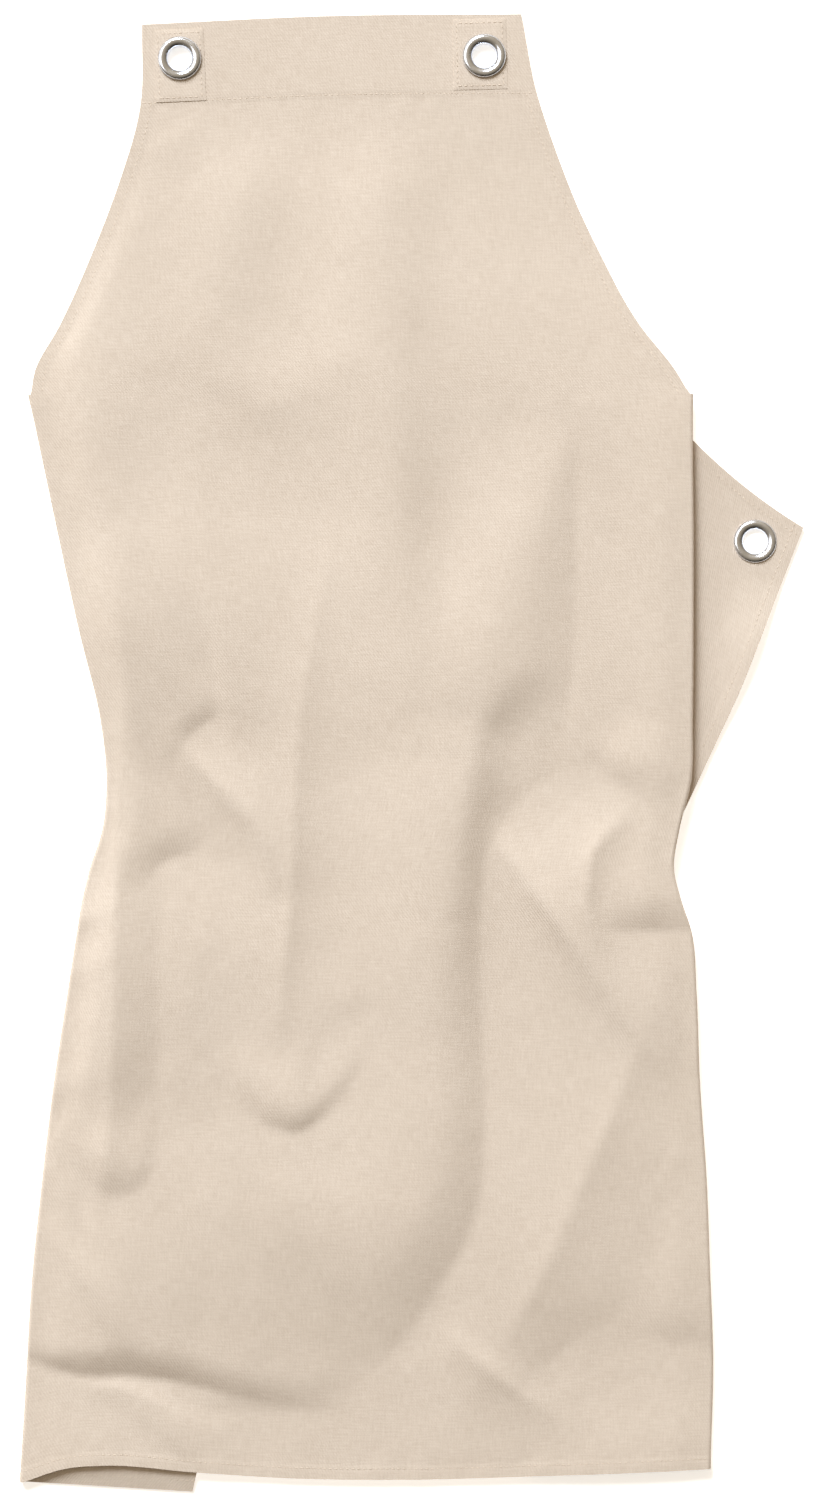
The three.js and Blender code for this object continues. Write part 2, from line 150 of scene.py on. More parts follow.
def nickelMaterial(name, roughness):
    material, tree = newMaterial(name)
    place = addNode(tree, "ShaderNodeTexCoord", {}, {}).outputs["Object"]
    haze = addNode(tree, "ShaderNodeTexNoise", {"Scale": 1 / (nickel["haze"] * mm), "Detail": 4.0},
                   {"Vector": place})
    scratch = addNode(tree, "ShaderNodeTexNoise", {"Scale": 1 / (nickel["scratch"] * mm), "Detail": 2.0},
                      {"Vector": place})
    colour = addNode(tree, "ShaderNodeMix", {
        "data_type": "RGBA", 6: linearColour(nickel["dull"]), 7: linearColour(nickel["bright"])},
        {0: haze.outputs["Fac"]})
    rough = addNode(tree, "ShaderNodeMapRange", {
        "From Min": nickel["hazeRange"][0], "From Max": nickel["hazeRange"][1],
        "To Min": roughness, "To Max": roughness + nickel["hazeRoughness"]}, {"Value": haze.outputs["Fac"]})
    bump = addNode(tree, "ShaderNodeBump", {"Strength": 0.4, "Distance": nickel["scratchDepth"] * mm},
                   {"Height": scratch.outputs["Fac"]})
    shader = addNode(tree, "ShaderNodeBsdfPrincipled", {"Metallic": 1.0},
                     {"Base Color": colour.outputs[2], "Roughness": rough.outputs["Result"],
                      "Normal": bump.outputs["Normal"]})
    addNode(tree, "ShaderNodeOutputMaterial", {}, {"Surface": shader.outputs["BSDF"]})
    return material


# spun polyester sewing thread: twisted plies, a little glossier than the cloth
thread = {"light": "#e4d6c8", "dark": "#d6c6b4", "ply": 0.5, "relief": 0.05}


def threadMaterial(name):
    material, tree = newMaterial(name)
    place = addNode(tree, "ShaderNodeTexCoord", {}, {}).outputs["Object"]
    plies = addNode(tree, "ShaderNodeTexWave", {
        "wave_type": "BANDS", "bands_direction": "DIAGONAL", "Scale": waveScale(thread["ply"])},
        {"Vector": place})
    colour = addNode(tree, "ShaderNodeMix", {
        "data_type": "RGBA", 6: linearColour(thread["dark"]), 7: linearColour(thread["light"])},
        {0: plies.outputs["Fac"]})
    bump = addNode(tree, "ShaderNodeBump", {"Strength": 0.5, "Distance": thread["relief"] * mm},
                   {"Height": plies.outputs["Fac"]})
    shader = addNode(tree, "ShaderNodeBsdfPrincipled", {"Roughness": 0.7, "IOR": 1.54},
                     {"Base Color": colour.outputs[2], "Normal": bump.outputs["Normal"]})
    addNode(tree, "ShaderNodeOutputMaterial", {}, {"Surface": shader.outputs["BSDF"]})
    return material


twillCloth = twillMaterial("sand_twill_woven")
nickelPlate = nickelMaterial("nickel_plate_pressed", nickel["faceRoughness"])
nickelBack = nickelMaterial("nickel_plate_tumbled", nickel["backRoughness"])
sewingThread = threadMaterial("polyester_thread_spun")
print("materials made")

# the sheet of the apron, over the outline of its CAD solid
# heights are of the middle of the cloth above the table, down is the distance below the top edge
apron = {
    "cloth": 1.0,
    "hem": 1.36,  # wall of a turned hem
    "hemWidth": 7.4,
    "hemSlope": 0.5,  # half of the slope from a hem to plain cloth
    "hemStitch": 6.2,  # stitches of a hem from its edge
    "pinch": 1.12,  # wall of a hem where its stitches pull it together
    "pinchReach": 0.8,
    "topSeam": 46,
    "topY": 424,
    "armCorner": 216,
    "creaseEnd": 724,
    "length": 842,
    "laid": 0.6,  # cloth that lies on the table
    "onWasher": 1.8,  # cloth that lies on a washer
    "edgeInset": 0.6,  # half of the CAD wall, so that both have one outline
    "edgeBulge": 1.3,  # how far a pressed turned edge bulges sideways
    "bibEdges": [  # down, x of the left edge, x of the right edge
        (0, -157, 63.5), (48, -158, 73), (95, -171, 91), (132, -185, 108), (176, -204.5, 132),
        (203, -219, 153), (216, -221, 160.5)],
    "skirtEdges": [
        (216, -223, 163), (251, -215.5, 163), (289, -207.5, 163.5), (353, -193.5, 163.5), (405, -181, 163),
        (440, -177.5, 162), (469, -180, 155), (492, -187.5, 152), (509, -191.5, 156), (527, -194.5, 162),
        (562, -200, 165), (614, -208, 167), (672, -215, 171), (724, -220.5, 173), (776, -224, 175),
        (842, -228, 173.5)],
    "frontHeights": [  # down, height at the left edge, in the middle, at the right edge
        (0, 1.75, 1.75, 1.75), (20, 2.15, 2.15, 2.15), (48, 2.7, 2.7, 2.7), (95, 3, 3.8, 3),
        (132, 3.6, 5.1, 4.4), (176, 4.8, 6.9, 7.4), (216, 6, 8, 9.4), (260, 6, 8, 9.4), (620, 6, 8, 9.4),
        (724, 6, 7, 8.4), (780, 3.9, 5.2, 6.6), (842, 5.1, 4.6, 5.2)],
    "underHeights": [  # down, height of the layer turned under at the left, at the right
        (216, 2.4, 5), (290, 2.4, 5), (400, 0.6, 5), (640, 0.6, 5), (724, 0.6, 4.2), (802, 0.6, 1.6),
        (816, 1.9, 1.3), (829, 3.2, 1), (842, 0.9, 0.6)],
    "topBow": [(0, -0.6), (0.5, 4.4), (1, 5.4)],  # share of the width, how far the edge stands up
    "topBowFade": (48, 110),  # down
    "hemBow": [(0, -5.5), (0.06, 2.5), (0.12, 4.5), (0.25, 0.5), (0.38, -3), (0.55, -4), (0.8, -1),
               (1, 2.5)],
    "hemBowStart": 740,
    "foldStart": (46, 106),  # folds grow from the top seam down
    "foldAtBibEdge": 0.1,  # share of a fold that is left at an edge
    "foldAtSkirtEdge": 0.6,
    "foldEdgeFade": 20,
    "leftFreeEdge": [(216, -101.5, 210), (446, -45, -21.5), (842, -127.5, -429.5)],  # down, x, y
    "creaseTop": (149.5, 195.5),
    "creaseEndPoint": (52, -300),
    "creaseNarrows": 0.85,  # share of the crease's length
    "creaseEndRadius": 1,
    "rightHemCorner": (69, -420.5),
    "wingTip": (227.5, 131),
    "wingEndWidth": 8,
    "wingBend": 7,  # how far the side edge of the wing bows in where it meets the front
    "wingBendGrows": (-50, 70),  # y, counted downwards
    "wingBendFades": (-260, -130),  # y
    "wingBulge": 1.8,  # the wing beside the edge of the front, above its height at the eyelet
    "wingBulgeReach": 15,
    "wingBulgeInset": 3.5,  # its middle lies this far under the front
    "wingLift": 5,  # the wing below its eyelet
    "wingLiftStart": 106,
    "wingLiftLength": 52,
    "wingLiftEnd": (-30, 30),  # y
    "wingLiftBeside": (10, 40),  # distance from the edge of the front
    "armBow": 9.5,
    "wingBow": 4.5,
    "armBowFade": 70,
    "hemSteps": (0, 0.8, 2, 3.8, 5.2, 6.2, 7, 7.8, 9, 11),  # grid lines beside a hemmed edge
    "seamSteps": (-3, -1.4, -0.6, 0, 0.6, 1.4, 3, 5),  # grid lines beside the top seam
    "rowBands": [  # start and end, down, and number of rows, close where small folds are sharp
        (0, 40, 9), (54, 212, 32), (231, 395, 32), (400, 444, 18), (449, 476, 6), (480, 532, 21),
        (537, 630, 18), (635, 685, 18), (690, 724, 7), (729, 764, 8), (768, 808, 16), (812, 828, 4)],
    "frontColumns": 122,
    "underColumns": 9,
    "wingColumns": 26,
    "rollSteps": 6,
}

# folds of the front, each along a line of x, y, height and, where it changes, a share of the reach
# a ridge falls away from its line, softly or as a sharp crease
# its reach is how far on the left hand and on the right hand
# a step climbs from its line on the left hand only
# its reach is how far it climbs and how far it then falls away
folds = [
    {"name": "sweep from the right breast", "kind": "step", "reach": (16, 40),
     "line": [(86, 3, 0, 2.5), (92, 35, 4.2, 2.8), (94, 66, 6, 2.8), (95, 95, 5.6, 2.5),
              (95, 124, 4.4, 1.9),
              (95, 153, 2.8, 1.2), (96, 190, 0, 0.7)]},
    {"name": "crest of the long sweep", "kind": "ridge", "reach": (17, 50),
     "line": [(94, 60, 0, 1), (73, 54, 1.2, 1), (54, 43, 2.8, 1), (39, 23, 4.8, 1), (31, -9, 6, 1),
              (26, -42, 5.6, 1), (23, -75, 4.4, 1.1), (21, -114, 2.8, 1.2), (20, -166, 0, 1.3)]},
    {"name": "foot of the long sweep", "kind": "step", "reach": (24, 64),
     "line": [(-48, -373, 0, 1.4), (-19, -356, 2, 1.7), (-1, -336, 4.2, 1.8), (14, -313, 5.8, 1.8),
              (28, -289, 6.4, 1.6), (38, -262, 6.4, 1.4), (42, -222, 6.2, 1.25), (41, -172, 5.8, 1.2),
              (39, -120, 5, 1.1), (40, -82, 4.2, 1), (44, -56, 3.2, 1.1), (54, -38, 2.2, 1.2),
              (77, -14, 1.2, 1.2), (102, 10, 0, 1.2)]},
    {"name": "margin of the left edge", "kind": "ridge", "reach": (24, 18),
     "line": [(-176, 327, 0), (-187, 289, 0.9), (-191, 248, 2.4), (-189, 213, 4), (-186, 182, 5),
              (-183, 153, 5.2), (-177, 118, 4), (-173, 83, 1.6), (-171, 54, 0)]},
    {"name": "ridge along the left edge", "kind": "crease", "reach": (22, 32),
     "line": [(-179, 129, 0, 1), (-171, 97, 2.6, 1.3), (-168, 66, 4.8, 1.5), (-166, 31, 5.6, 1.5),
              (-168, -4, 5.8, 1.2), (-170, -33, 5.8, 1), (-171, -68, 6, 1), (-172, -132, 6.2, 1),
              (-173, -172, 5.8, 1), (-175, -207, 4.6, 1), (-177, -236, 2.6, 1), (-181, -262, 0, 1)]},
    {"name": "shelf at the left waist", "kind": "ridge", "reach": (60, 58),
     "line": [(-197, 95, 0), (-171, 93, 4.4), (-146, 92, 6.4), (-123, 90, 5.2), (-94, 93, 2.4),
              (-62, 103, 0)]},
    {"name": "streak at the left waist", "kind": "step", "reach": (11, 30),
     "line": [(-130, 106, 0), (-124, 83, 0.8), (-118, 60, 1.5), (-114, 37, 1.9), (-112, 23, 1.7),
              (-108, 3, 0)]},
    {"name": "pocket beside the left ridge", "kind": "step", "reach": (22, 30),
     "line": [(-203, -235, 0, 0.6), (-185, -249, 2.1, 0.8), (-168, -256, 3, 1), (-154, -246, 2.9, 1),
              (-148, -222, 2.6, 1), (-147, -184, 2.4, 1), (-147, -133, 2.1, 1), (-146, -95, 1.4, 1),
              (-142, -70, 0, 1)]},
    {"name": "swell right of the left ridge", "kind": "ridge", "reach": (76, 44),
     "line": [(-157, -207, 0), (-146, -169, 2.8), (-135, -135, 4.2), (-122, -100, 3.4), (-109, -62, 0)]},
    {"name": "soft fold down the bib", "kind": "ridge", "reach": (28, 44),
     "line": [(-15, 393, 0, 1), (-19, 350, 2.4, 1), (-21, 292, 4.6, 1), (-20, 234, 5.6, 1),
              (-14, 176, 6, 0.9),
              (-10, 118, 5.8, 0.8), (-8, 66, 4.2, 0.9), (-6, -4, 0, 1)]},
    {"name": "soft fold at the left of the bib", "kind": "ridge", "reach": (26, 34),
     "line": [(-84, 379, 0), (-96, 341, 2.4), (-106, 298, 3.4), (-115, 257, 2.4), (-123, 211, 0)]},
    {"name": "swag of the bib", "kind": "ridge", "reach": (24, 20),
     "line": [(-146, 257, 0), (-120, 230, 0.8), (-97, 213, 1.3), (-79, 208, 1.4), (-56, 217, 0.9),
              (-27, 243, 0)]},
    {"name": "crease at the left arm", "kind": "crease", "reach": (9, 9),
     "line": [(-108, 374, 0), (-129, 362, 3), (-143, 356, 2.4), (-160, 344, 0)]},
    {"name": "soft fold at the left arm", "kind": "ridge", "reach": (26, 26),
     "line": [(-159, 350, 0), (-167, 298, 1), (-167, 245, 1.2), (-161, 187, 1), (-154, 112, 0)]},
    {"name": "upper pinch at the left waist", "kind": "step", "reach": (13, 60),
     "line": [(-144, -19, 0), (-136, -4, 1), (-129, 8, 1.8), (-121, 16, 2.4), (-114, 21, 2.1),
              (-107, 26, 0)]},
    {"name": "lower pinch at the left waist", "kind": "step", "reach": (19, 46),
     "line": [(-156, -83, 0, 0.8), (-151, -74, 1.4, 0.9), (-146, -66, 2.8, 1), (-139, -61, 3.4, 1),
              (-130, -59, 2.6, 1), (-122, -55, 0, 1)]},
    {"name": "slant fold at the left waist", "kind": "crease", "reach": (24, 14),
     "line": [(-139, 12, 0, 0.8), (-125, -6, 2.8, 0.8), (-110, -21, 4.8, 1), (-95, -37, 5.2, 1),
              (-85, -57, 3.8, 1), (-79, -88, 0, 1)]},
    {"name": "waist fold", "kind": "crease", "reach": (24, 46),
     "line": [(-43, 138, 0, 1.2), (-49, 109, 2, 1.2), (-57, 66, 3.6, 1.2), (-64, 25, 4.8, 1.1),
              (-67, -10, 5, 1), (-69, -61, 4.8, 0.9), (-71, -97, 5, 0.8), (-74, -125, 4.6, 0.8),
              (-76, -150, 3, 0.8), (-78, -175, 0, 0.8)]},
    {"name": "swag below the waist fold", "kind": "step", "reach": (14, 46),
     "line": [(-133, -156, 0, 2.6), (-122, -177, 1.2, 2.4), (-109, -194, 2.8, 2.2), (-94, -208, 3.9, 1.8),
              (-79, -217, 4.1, 1.3), (-67, -219, 3.6, 1.1), (-53, -211, 2.8, 0.9), (-37, -194, 1.6, 0.8),
              (-21, -168, 0, 0.8)]},
    {"name": "belly above the hem", "kind": "ridge", "reach": (58, 130),
     "line": [(-30, -207, 0), (-62, -243, 2), (-94, -263, 3), (-129, -269, 2.4), (-169, -265, 1),
              (-204, -259, 0)]},
    {"name": "crease above the hem", "kind": "step", "reach": (20, 150),
     "line": [(-239, -346, 2.6, 0.4), (-223, -352, 3, 0.5), (-203, -359, 4.4, 0.8), (-186, -362, 5.4, 1),
              (-164, -362, 5.8, 1.05), (-143, -364, 5.4, 1), (-123, -368, 4.4, 1), (-97, -375, 2.8, 1),
              (-68, -380, 1.2, 1), (-39, -381, 0, 1)]},
    {"name": "end of the crease above the hem", "kind": "step", "reach": (24, 60),
     "line": [(-140, -373, 0), (-119, -380, 1.2), (-99, -382, 1.9), (-82, -383, 2.1), (-67, -382, 1.9),
              (-52, -382, 1.2), (-36, -381, 0)]},
    {"name": "ledge below the crease", "kind": "crease", "reach": (8, 13),
     "line": [(-206, -364, 0), (-183, -368, 1), (-167, -369, 1.5), (-155, -374, 1.6), (-144, -379, 1.5),
              (-136, -386, 1.3), (-117, -392, 0.9), (-94, -397, 0)]},
    {"name": "lift of the hem at the lower left", "kind": "ridge", "reach": (40, 30),
     "line": [(-233, -420, 0), (-204, -418, 0.6), (-169, -417, 0.8), (-135, -418, 0.6), (-94, -420, 0)]},
    {"name": "lift of the hem at the lower right", "kind": "ridge", "reach": (44, 30),
     "line": [(63, -420, 0), (97, -418, 1.8), (132, -416, 2.6), (161, -415, 2.6), (184, -414, 2)]},
    {"name": "slant crease at the lower left", "kind": "ridge", "reach": (10, 6),
     "line": [(-216, -272, 0), (-201, -288, 1.3), (-186, -309, 1.5), (-171, -334, 1.2), (-159, -351, 0)]},
    {"name": "nick at the left edge", "kind": "ridge", "reach": (5, 8),
     "line": [(-212, -216, 0), (-208, -239, 1.8), (-201, -259, 1.6), (-190, -286, 0)]},
    {"name": "upper wrinkle at the left edge", "kind": "ridge", "reach": (8, 6),
     "line": [(-202, -100, 1.4), (-190, -96, 1.6), (-176, -89, 0)]},
    {"name": "middle wrinkle at the left edge", "kind": "ridge", "reach": (8, 6.5),
     "line": [(-205, -130, 1.4), (-193, -126, 1.6), (-176, -118, 0)]},
    {"name": "lower wrinkle at the left edge", "kind": "ridge", "reach": (10, 8),
     "line": [(-216, -199, 1.3), (-202, -193, 1.6), (-182, -182, 0)]},
    {"name": "faint crease at the lower left", "kind": "ridge", "reach": (12, 6),
     "line": [(-179, -365, 0), (-152, -386, 1), (-132, -402, 1), (-114, -417, 0)]},
    {"name": "lip of the right edge", "kind": "ridge", "reach": (40, 36),
     "line": [(161, 216, 0), (164, 176, 2.4), (164, 112, 3), (162, 42, 2.8), (159, -10, 2),
              (153, -62, 0)]},
    {"name": "brow at the lower right", "kind": "crease", "reach": (40, 64),
     "line": [(146, -129, 0, 1), (135, -162, 3, 1), (122, -194, 4.8, 1), (109, -225, 5.8, 1),
              (97, -252, 5.8, 1), (85, -282, 5.2, 0.85), (73, -306, 4.2, 0.7), (60, -330, 2.5, 0.55),
              (50, -350, 0, 0.5)]},
    {"name": "broad slope at the lower right", "kind": "step", "reach": (26, 60),
     "line": [(45, -383, 0, 0.7), (61, -371, 1.1, 0.9), (77, -356, 1.7, 1), (95, -341, 1.7, 1.1),
              (113, -329, 1.2, 1.1), (132, -316, 0.5, 1), (148, -307, 0, 1)]},
    {"name": "crease at the lower right", "kind": "step", "reach": (26, 90),
     "line": [(116, -327, 0, 0.8), (132, -336, 1.2, 0.9), (148, -341, 2, 1), (167, -343, 2.4, 1),
              (190, -345, 2.4, 1)]},
    {"name": "dimple above the hem", "kind": "crease", "reach": (15, 20),
     "line": [(16, -330, 0, 1), (29, -344, 2.8, 0.9), (43, -356, 4, 1), (58, -368, 3.6, 1),
              (74, -379, 2, 0.9),
              (95, -392, 0, 0.7)]},
    {"name": "pinch at the right waist", "kind": "step", "reach": (22, 44),
     "line": [(108, -103, 0, 0.7), (121, -103, 2, 0.8), (134, -103, 3.4, 0.95), (147, -103, 4.2, 1.1),
              (161, -103, 4.6, 1.2), (175, -104, 4.6, 1.2)]},
    {"name": "ledge below the pinch", "kind": "ridge", "reach": (26, 70),
     "line": [(109, -155, 0), (128, -143, 1), (145, -135, 1.8), (167, -127, 2), (184, -120, 1.8)]},
    {"name": "slant fold at the right waist", "kind": "crease", "reach": (28, 16),
     "line": [(43, -42, 0, 0.5), (56, -60, 3.2, 0.6), (70, -79, 5, 0.8), (87, -102, 6.2, 1),
              (104, -126, 6.4, 1.1), (118, -147, 5, 1.1), (132, -168, 2, 1), (146, -188, 0, 1)]},
    {"name": "lobe of the right waist", "kind": "crease", "reach": (14, 28),
     "line": [(129, -31, 0, 0.8), (116, -44, 3, 0.8), (106, -56, 5, 1), (102, -72, 5.6, 1.1),
              (102, -92, 4.6, 1.1), (109, -112, 2.4, 1), (122, -139, 0, 1)]},
    {"name": "line above the hook", "kind": "crease", "reach": (12, 30),
     "line": [(93, 83, 0), (96, 54, 0.7), (99, 25, 1.1), (104, 5, 0.9), (110, -9, 0)]},
    {"name": "hook above the lobe", "kind": "step", "reach": (16, 22),
     "line": [(100, 3, 0, 0.7), (107, -7, 1.2, 0.8), (114, -14, 2, 1), (122, -19, 2.2, 1),
              (130, -26, 1.4, 0.9), (135, -35, 0, 0.8)]},
]


def smoothStep(low, high, value):
    t = np.clip((value - low) / (high - low), 0, 1)
    return t * t * (3 - 2 * t)


# smooth curve through the given values
def curveAt(places, values, at):
    places, values = np.asarray(places, float), np.asarray(values, float)
    slopes = np.gradient(values, places)
    k = np.clip(np.searchsorted(places, at, side="right") - 1, 0, len(places) - 2)
    span = places[k + 1] - places[k]
    t = np.clip((at - places[k]) / span, 0, 1)
    rising = t * t * (3 - 2 * t)
    bend = span * (t * (1 - t) ** 2 * slopes[k] + t * t * (t - 1) * slopes[k + 1])
    return values[k] * (1 - rising) + values[k + 1] * rising + bend


def tableAt(table, at):
    columns = np.array(table, float).T
    return [curveAt(columns[0], column, at) for column in columns[1:]]


def linePoints(line, step):
    points = np.array(line, float)
    along = np.concatenate([[0], np.cumsum(np.hypot(*np.diff(points[:, :2], axis=0).T))])
    at = np.linspace(0, along[-1], max(4, int(along[-1] / step)))
    return np.stack([curveAt(along, column, at) for column in points.T], axis=1)


# spacing of points on a fold's line, and how far each of them counts along the line and beside it
foldBlend = {"step": 5, "along": 7, "aside": 25, "least": 1e-4}


def foldRise(fold, x, y):
    points = linePoints([(point + (1,))[:4] for point in fold["line"]], foldBlend["step"])
    heading = np.gradient(points[:, :2], axis=0)
    heading /= np.linalg.norm(heading, axis=1, keepdims=True)
    reachLeft, reachRight = fold["reach"]
    rise, weight = np.zeros_like(x), np.full_like(x, foldBlend["least"])
    for (px, py, height, wide), (hx, hy) in zip(points, heading):
        along = (x - px) * hx + (y - py) * hy
        side = (y - py) * hx - (x - px) * hy  # positive on the left hand
        near = np.exp(-(along / foldBlend["along"]) ** 2 - np.abs(side) / foldBlend["aside"])
        away = np.abs(side) / np.where(side > 0, reachLeft, reachRight) / wide
        if fold["kind"] == "ridge":
            shape = np.exp(-away ** 2)
        elif fold["kind"] == "crease":
            shape = np.exp(-away)
        else:
            climb = np.sin(np.clip(side / reachLeft / wide, 0, 1) * np.pi / 2)
            shape = climb * np.exp(-(np.maximum(side - reachLeft * wide, 0) / reachRight) ** 2)
        rise += near * max(height, 0) * shape
        weight += near
    return rise / weight


# small unevenness of the front: height, size across, stretch along the apron and seed
uneven = {
    "swell": (0.45, 60, 2, 3),
    "ripple": (0.16, 24, 2, 7),
    "rumple": (0.16, 13, 1, 11),
    "rumpleStart": (40, 70),  # down
    "pucker": (0.3, 9, 3, 5),
    "puckerAboveHem": 9,  # reach beside the stitches of the hem
    "puckerAtSeam": 0.8,  # share of the pucker that the top seam has
    "puckerBelowSeam": 7,
    "puckerSeamReach": 6,
    "puckerEdgeFade": 12,
}


def unevenness(kind, x, y):
    height, size, stretch, seed = uneven[kind]
    flat = [noise.noise(Vector((a / size, b / stretch / size, seed))) for a, b in zip(x.ravel(), y.ravel())]
    return height * np.array(flat).reshape(x.shape)


def hemWall(distance, width, stitch):
    turned = 1 - smoothStep(width - apron["hemSlope"], width + apron["hemSlope"], distance)
    pulled = np.exp(-((distance - stitch) / apron["pinchReach"]) ** 2)
    hemmed = apron["cloth"] + (apron["hem"] - apron["cloth"]) * turned
    return hemmed - (apron["hem"] - apron["pinch"]) * pulled * turned


hemSteps = np.array(apron["hemSteps"])
hemZone = hemSteps[-1]
rowsDown = np.unique(np.round(np.concatenate(
    [apron["topSeam"] + np.array(apron["seamSteps"]), apron["armCorner"] + hemSteps,
     apron["length"] - hemSteps]
    + [np.linspace(start, end, count) for start, end, count in apron["rowBands"]]), 3))
armRow = int(np.searchsorted(rowsDown, apron["armCorner"]))
creaseRow = int(np.searchsorted(rowsDown, apron["creaseEnd"]))
down = rowsDown[:, None]
onSkirt = down >= apron["armCorner"]

frontLeft, frontMiddle, frontRight = tableAt(apron["frontHeights"], rowsDown)
underLeft, underRight = tableAt(apron["underHeights"], rowsDown)
underLeft = np.maximum(underLeft, apron["laid"])
bibLeftX, bibRightX = tableAt(apron["bibEdges"], rowsDown)
skirtLeftX, skirtRightX = tableAt(apron["skirtEdges"], rowsDown)
leftReach = np.minimum((frontLeft - underLeft) / 2, apron["edgeBulge"])
rightReach = np.minimum((frontRight - underRight) / 2, apron["edgeBulge"])
leftX = np.where(onSkirt[:, 0], skirtLeftX + leftReach + apron["edgeInset"], bibLeftX)
rightX = np.where(onSkirt[:, 0], skirtRightX - rightReach - apron["edgeInset"], bibRightX)

# front, with grid lines at fixed distances beside both edges
inner = np.linspace(0, 1, apron["frontColumns"] + 1)[1:-1]
near = np.concatenate([hemSteps, np.full(len(inner), hemZone), 2 * hemZone - hemSteps[::-1]])
share = np.concatenate([hemSteps * 0, inner, hemSteps * 0 + 1])
width = (rightX - leftX)[:, None]
x = leftX[:, None] + near + share * (width - 2 * hemZone)
u = (x - leftX[:, None]) / width
topShare = 1 - smoothStep(*apron["topBowFade"], down)
hemShare = smoothStep(apron["hemBowStart"], apron["length"], down)
y = (apron["topY"] - down + topShare * tableAt(apron["topBow"], u)[0]
     + hemShare * tableAt(apron["hemBow"], u)[0])
z = ((1 - u) * (1 - 2 * u) * frontLeft[:, None] + u * (2 * u - 1) * frontRight[:, None]
     + 4 * u * (1 - u) * frontMiddle[:, None])

fromEdge = np.minimum(u, 1 - u) * width
atEdge = np.where(onSkirt, apron["foldAtSkirtEdge"], apron["foldAtBibEdge"])
edgeFade = atEdge + (1 - atEdge) * smoothStep(0, apron["foldEdgeFade"], fromEdge)
relief = sum(foldRise(fold, x, y) for fold in folds)
relief += unevenness("swell", x, y) + unevenness("ripple", x, y)
z += relief * edgeFade * smoothStep(*apron["foldStart"], down)
z += unevenness("rumple", x, y) * smoothStep(*uneven["rumpleStart"], down)
fromHem = apron["length"] - apron["hemStitch"] - down
belowSeam = down - apron["topSeam"] - uneven["puckerBelowSeam"]
puckers = np.exp(-(fromHem / uneven["puckerAboveHem"]) ** 2)
puckers = puckers + uneven["puckerAtSeam"] * np.exp(-(belowSeam / uneven["puckerSeamReach"]) ** 2)
z += unevenness("pucker", x, y) * puckers * smoothStep(0, uneven["puckerEdgeFade"], fromEdge)
front = np.stack([x, y, z], axis=2)
print("front of the apron shaped,", front.shape[0], "rows,", front.shape[1], "columns")


# a turned edge, from the layer above to the layer below
def turnUnder(edge, outward, reach, below, steps):
    angle = np.linspace(0, np.pi, steps + 1)[1:]
    drop = (edge[:, 2] - below) / 2
    bulge = reach[:, None] * np.sin(angle)
    return np.stack([
        edge[:, :1] + outward[0] * bulge,
        edge[:, 1:2] + outward[1] * bulge,
        edge[:, 2:] - drop[:, None] * (1 - np.cos(angle))], axis=2)


# a layer between two edges, bowed along its arm curve
def layerBetween(start, end, shares, bow):
    points = start[:, None, :] + (end - start)[:, None, :] * shares[:, :, None]
    points[:, :, 1] -= 4 * shares * (1 - shares) * bow[:, None]
    return points


# shares of a layer's width with grid lines at fixed distances from its hemmed far edge
def hemmedShares(start, end, count):
    length = np.linalg.norm(end - start, axis=1)[:, None]
    steps = hemSteps * np.minimum(1, length / (3 * hemZone))  # closer where the layer is narrow
    plain = np.linspace(0, 1, count + 1)[None, 1:-1] * (length - steps[:, -1:])
    return np.concatenate([plain, length - steps[:, ::-1]], axis=1) / length


bowShare = 1 - smoothStep(apron["armCorner"], apron["armCorner"] + apron["armBowFade"], rowsDown)
armBow = apron["armBow"] * bowShare

leftRoll = turnUnder(front[:, 0], (-1, 0), leftReach, underLeft, apron["rollSteps"])
freeX, freeY = tableAt(apron["leftFreeEdge"], rowsDown)
leftFree = np.stack([freeX, freeY, underLeft], axis=1)
leftShares = hemmedShares(leftRoll[:, -1], leftFree, apron["underColumns"])
leftLayer = layerBetween(leftRoll[:, -1], leftFree, leftShares, armBow)

rightRoll = turnUnder(front[:, -1], (1, 0), rightReach, underRight, apron["rollSteps"])
creaseLength, belowLength = apron["creaseEnd"] - apron["armCorner"], apron["length"] - apron["creaseEnd"]
creaseShare = np.clip((down - apron["armCorner"]) / creaseLength, 0, 1)
belowShare = np.clip((down - apron["creaseEnd"]) / belowLength, 0, 1)
creaseTop, creaseEnd, hemCorner = (
    np.array(apron[name]) for name in ("creaseTop", "creaseEndPoint", "rightHemCorner"))
crease = creaseTop + (creaseEnd - creaseTop) * creaseShare + (hemCorner - creaseEnd) * belowShare
innerEdge = np.concatenate([crease, underRight[:, None]], axis=1)
plainShares = np.repeat(np.linspace(0, 1, apron["underColumns"] + 1)[None, 1:], len(rowsDown), axis=0)
rightLayer = layerBetween(rightRoll[:, -1], innerEdge, plainShares, armBow * 0)

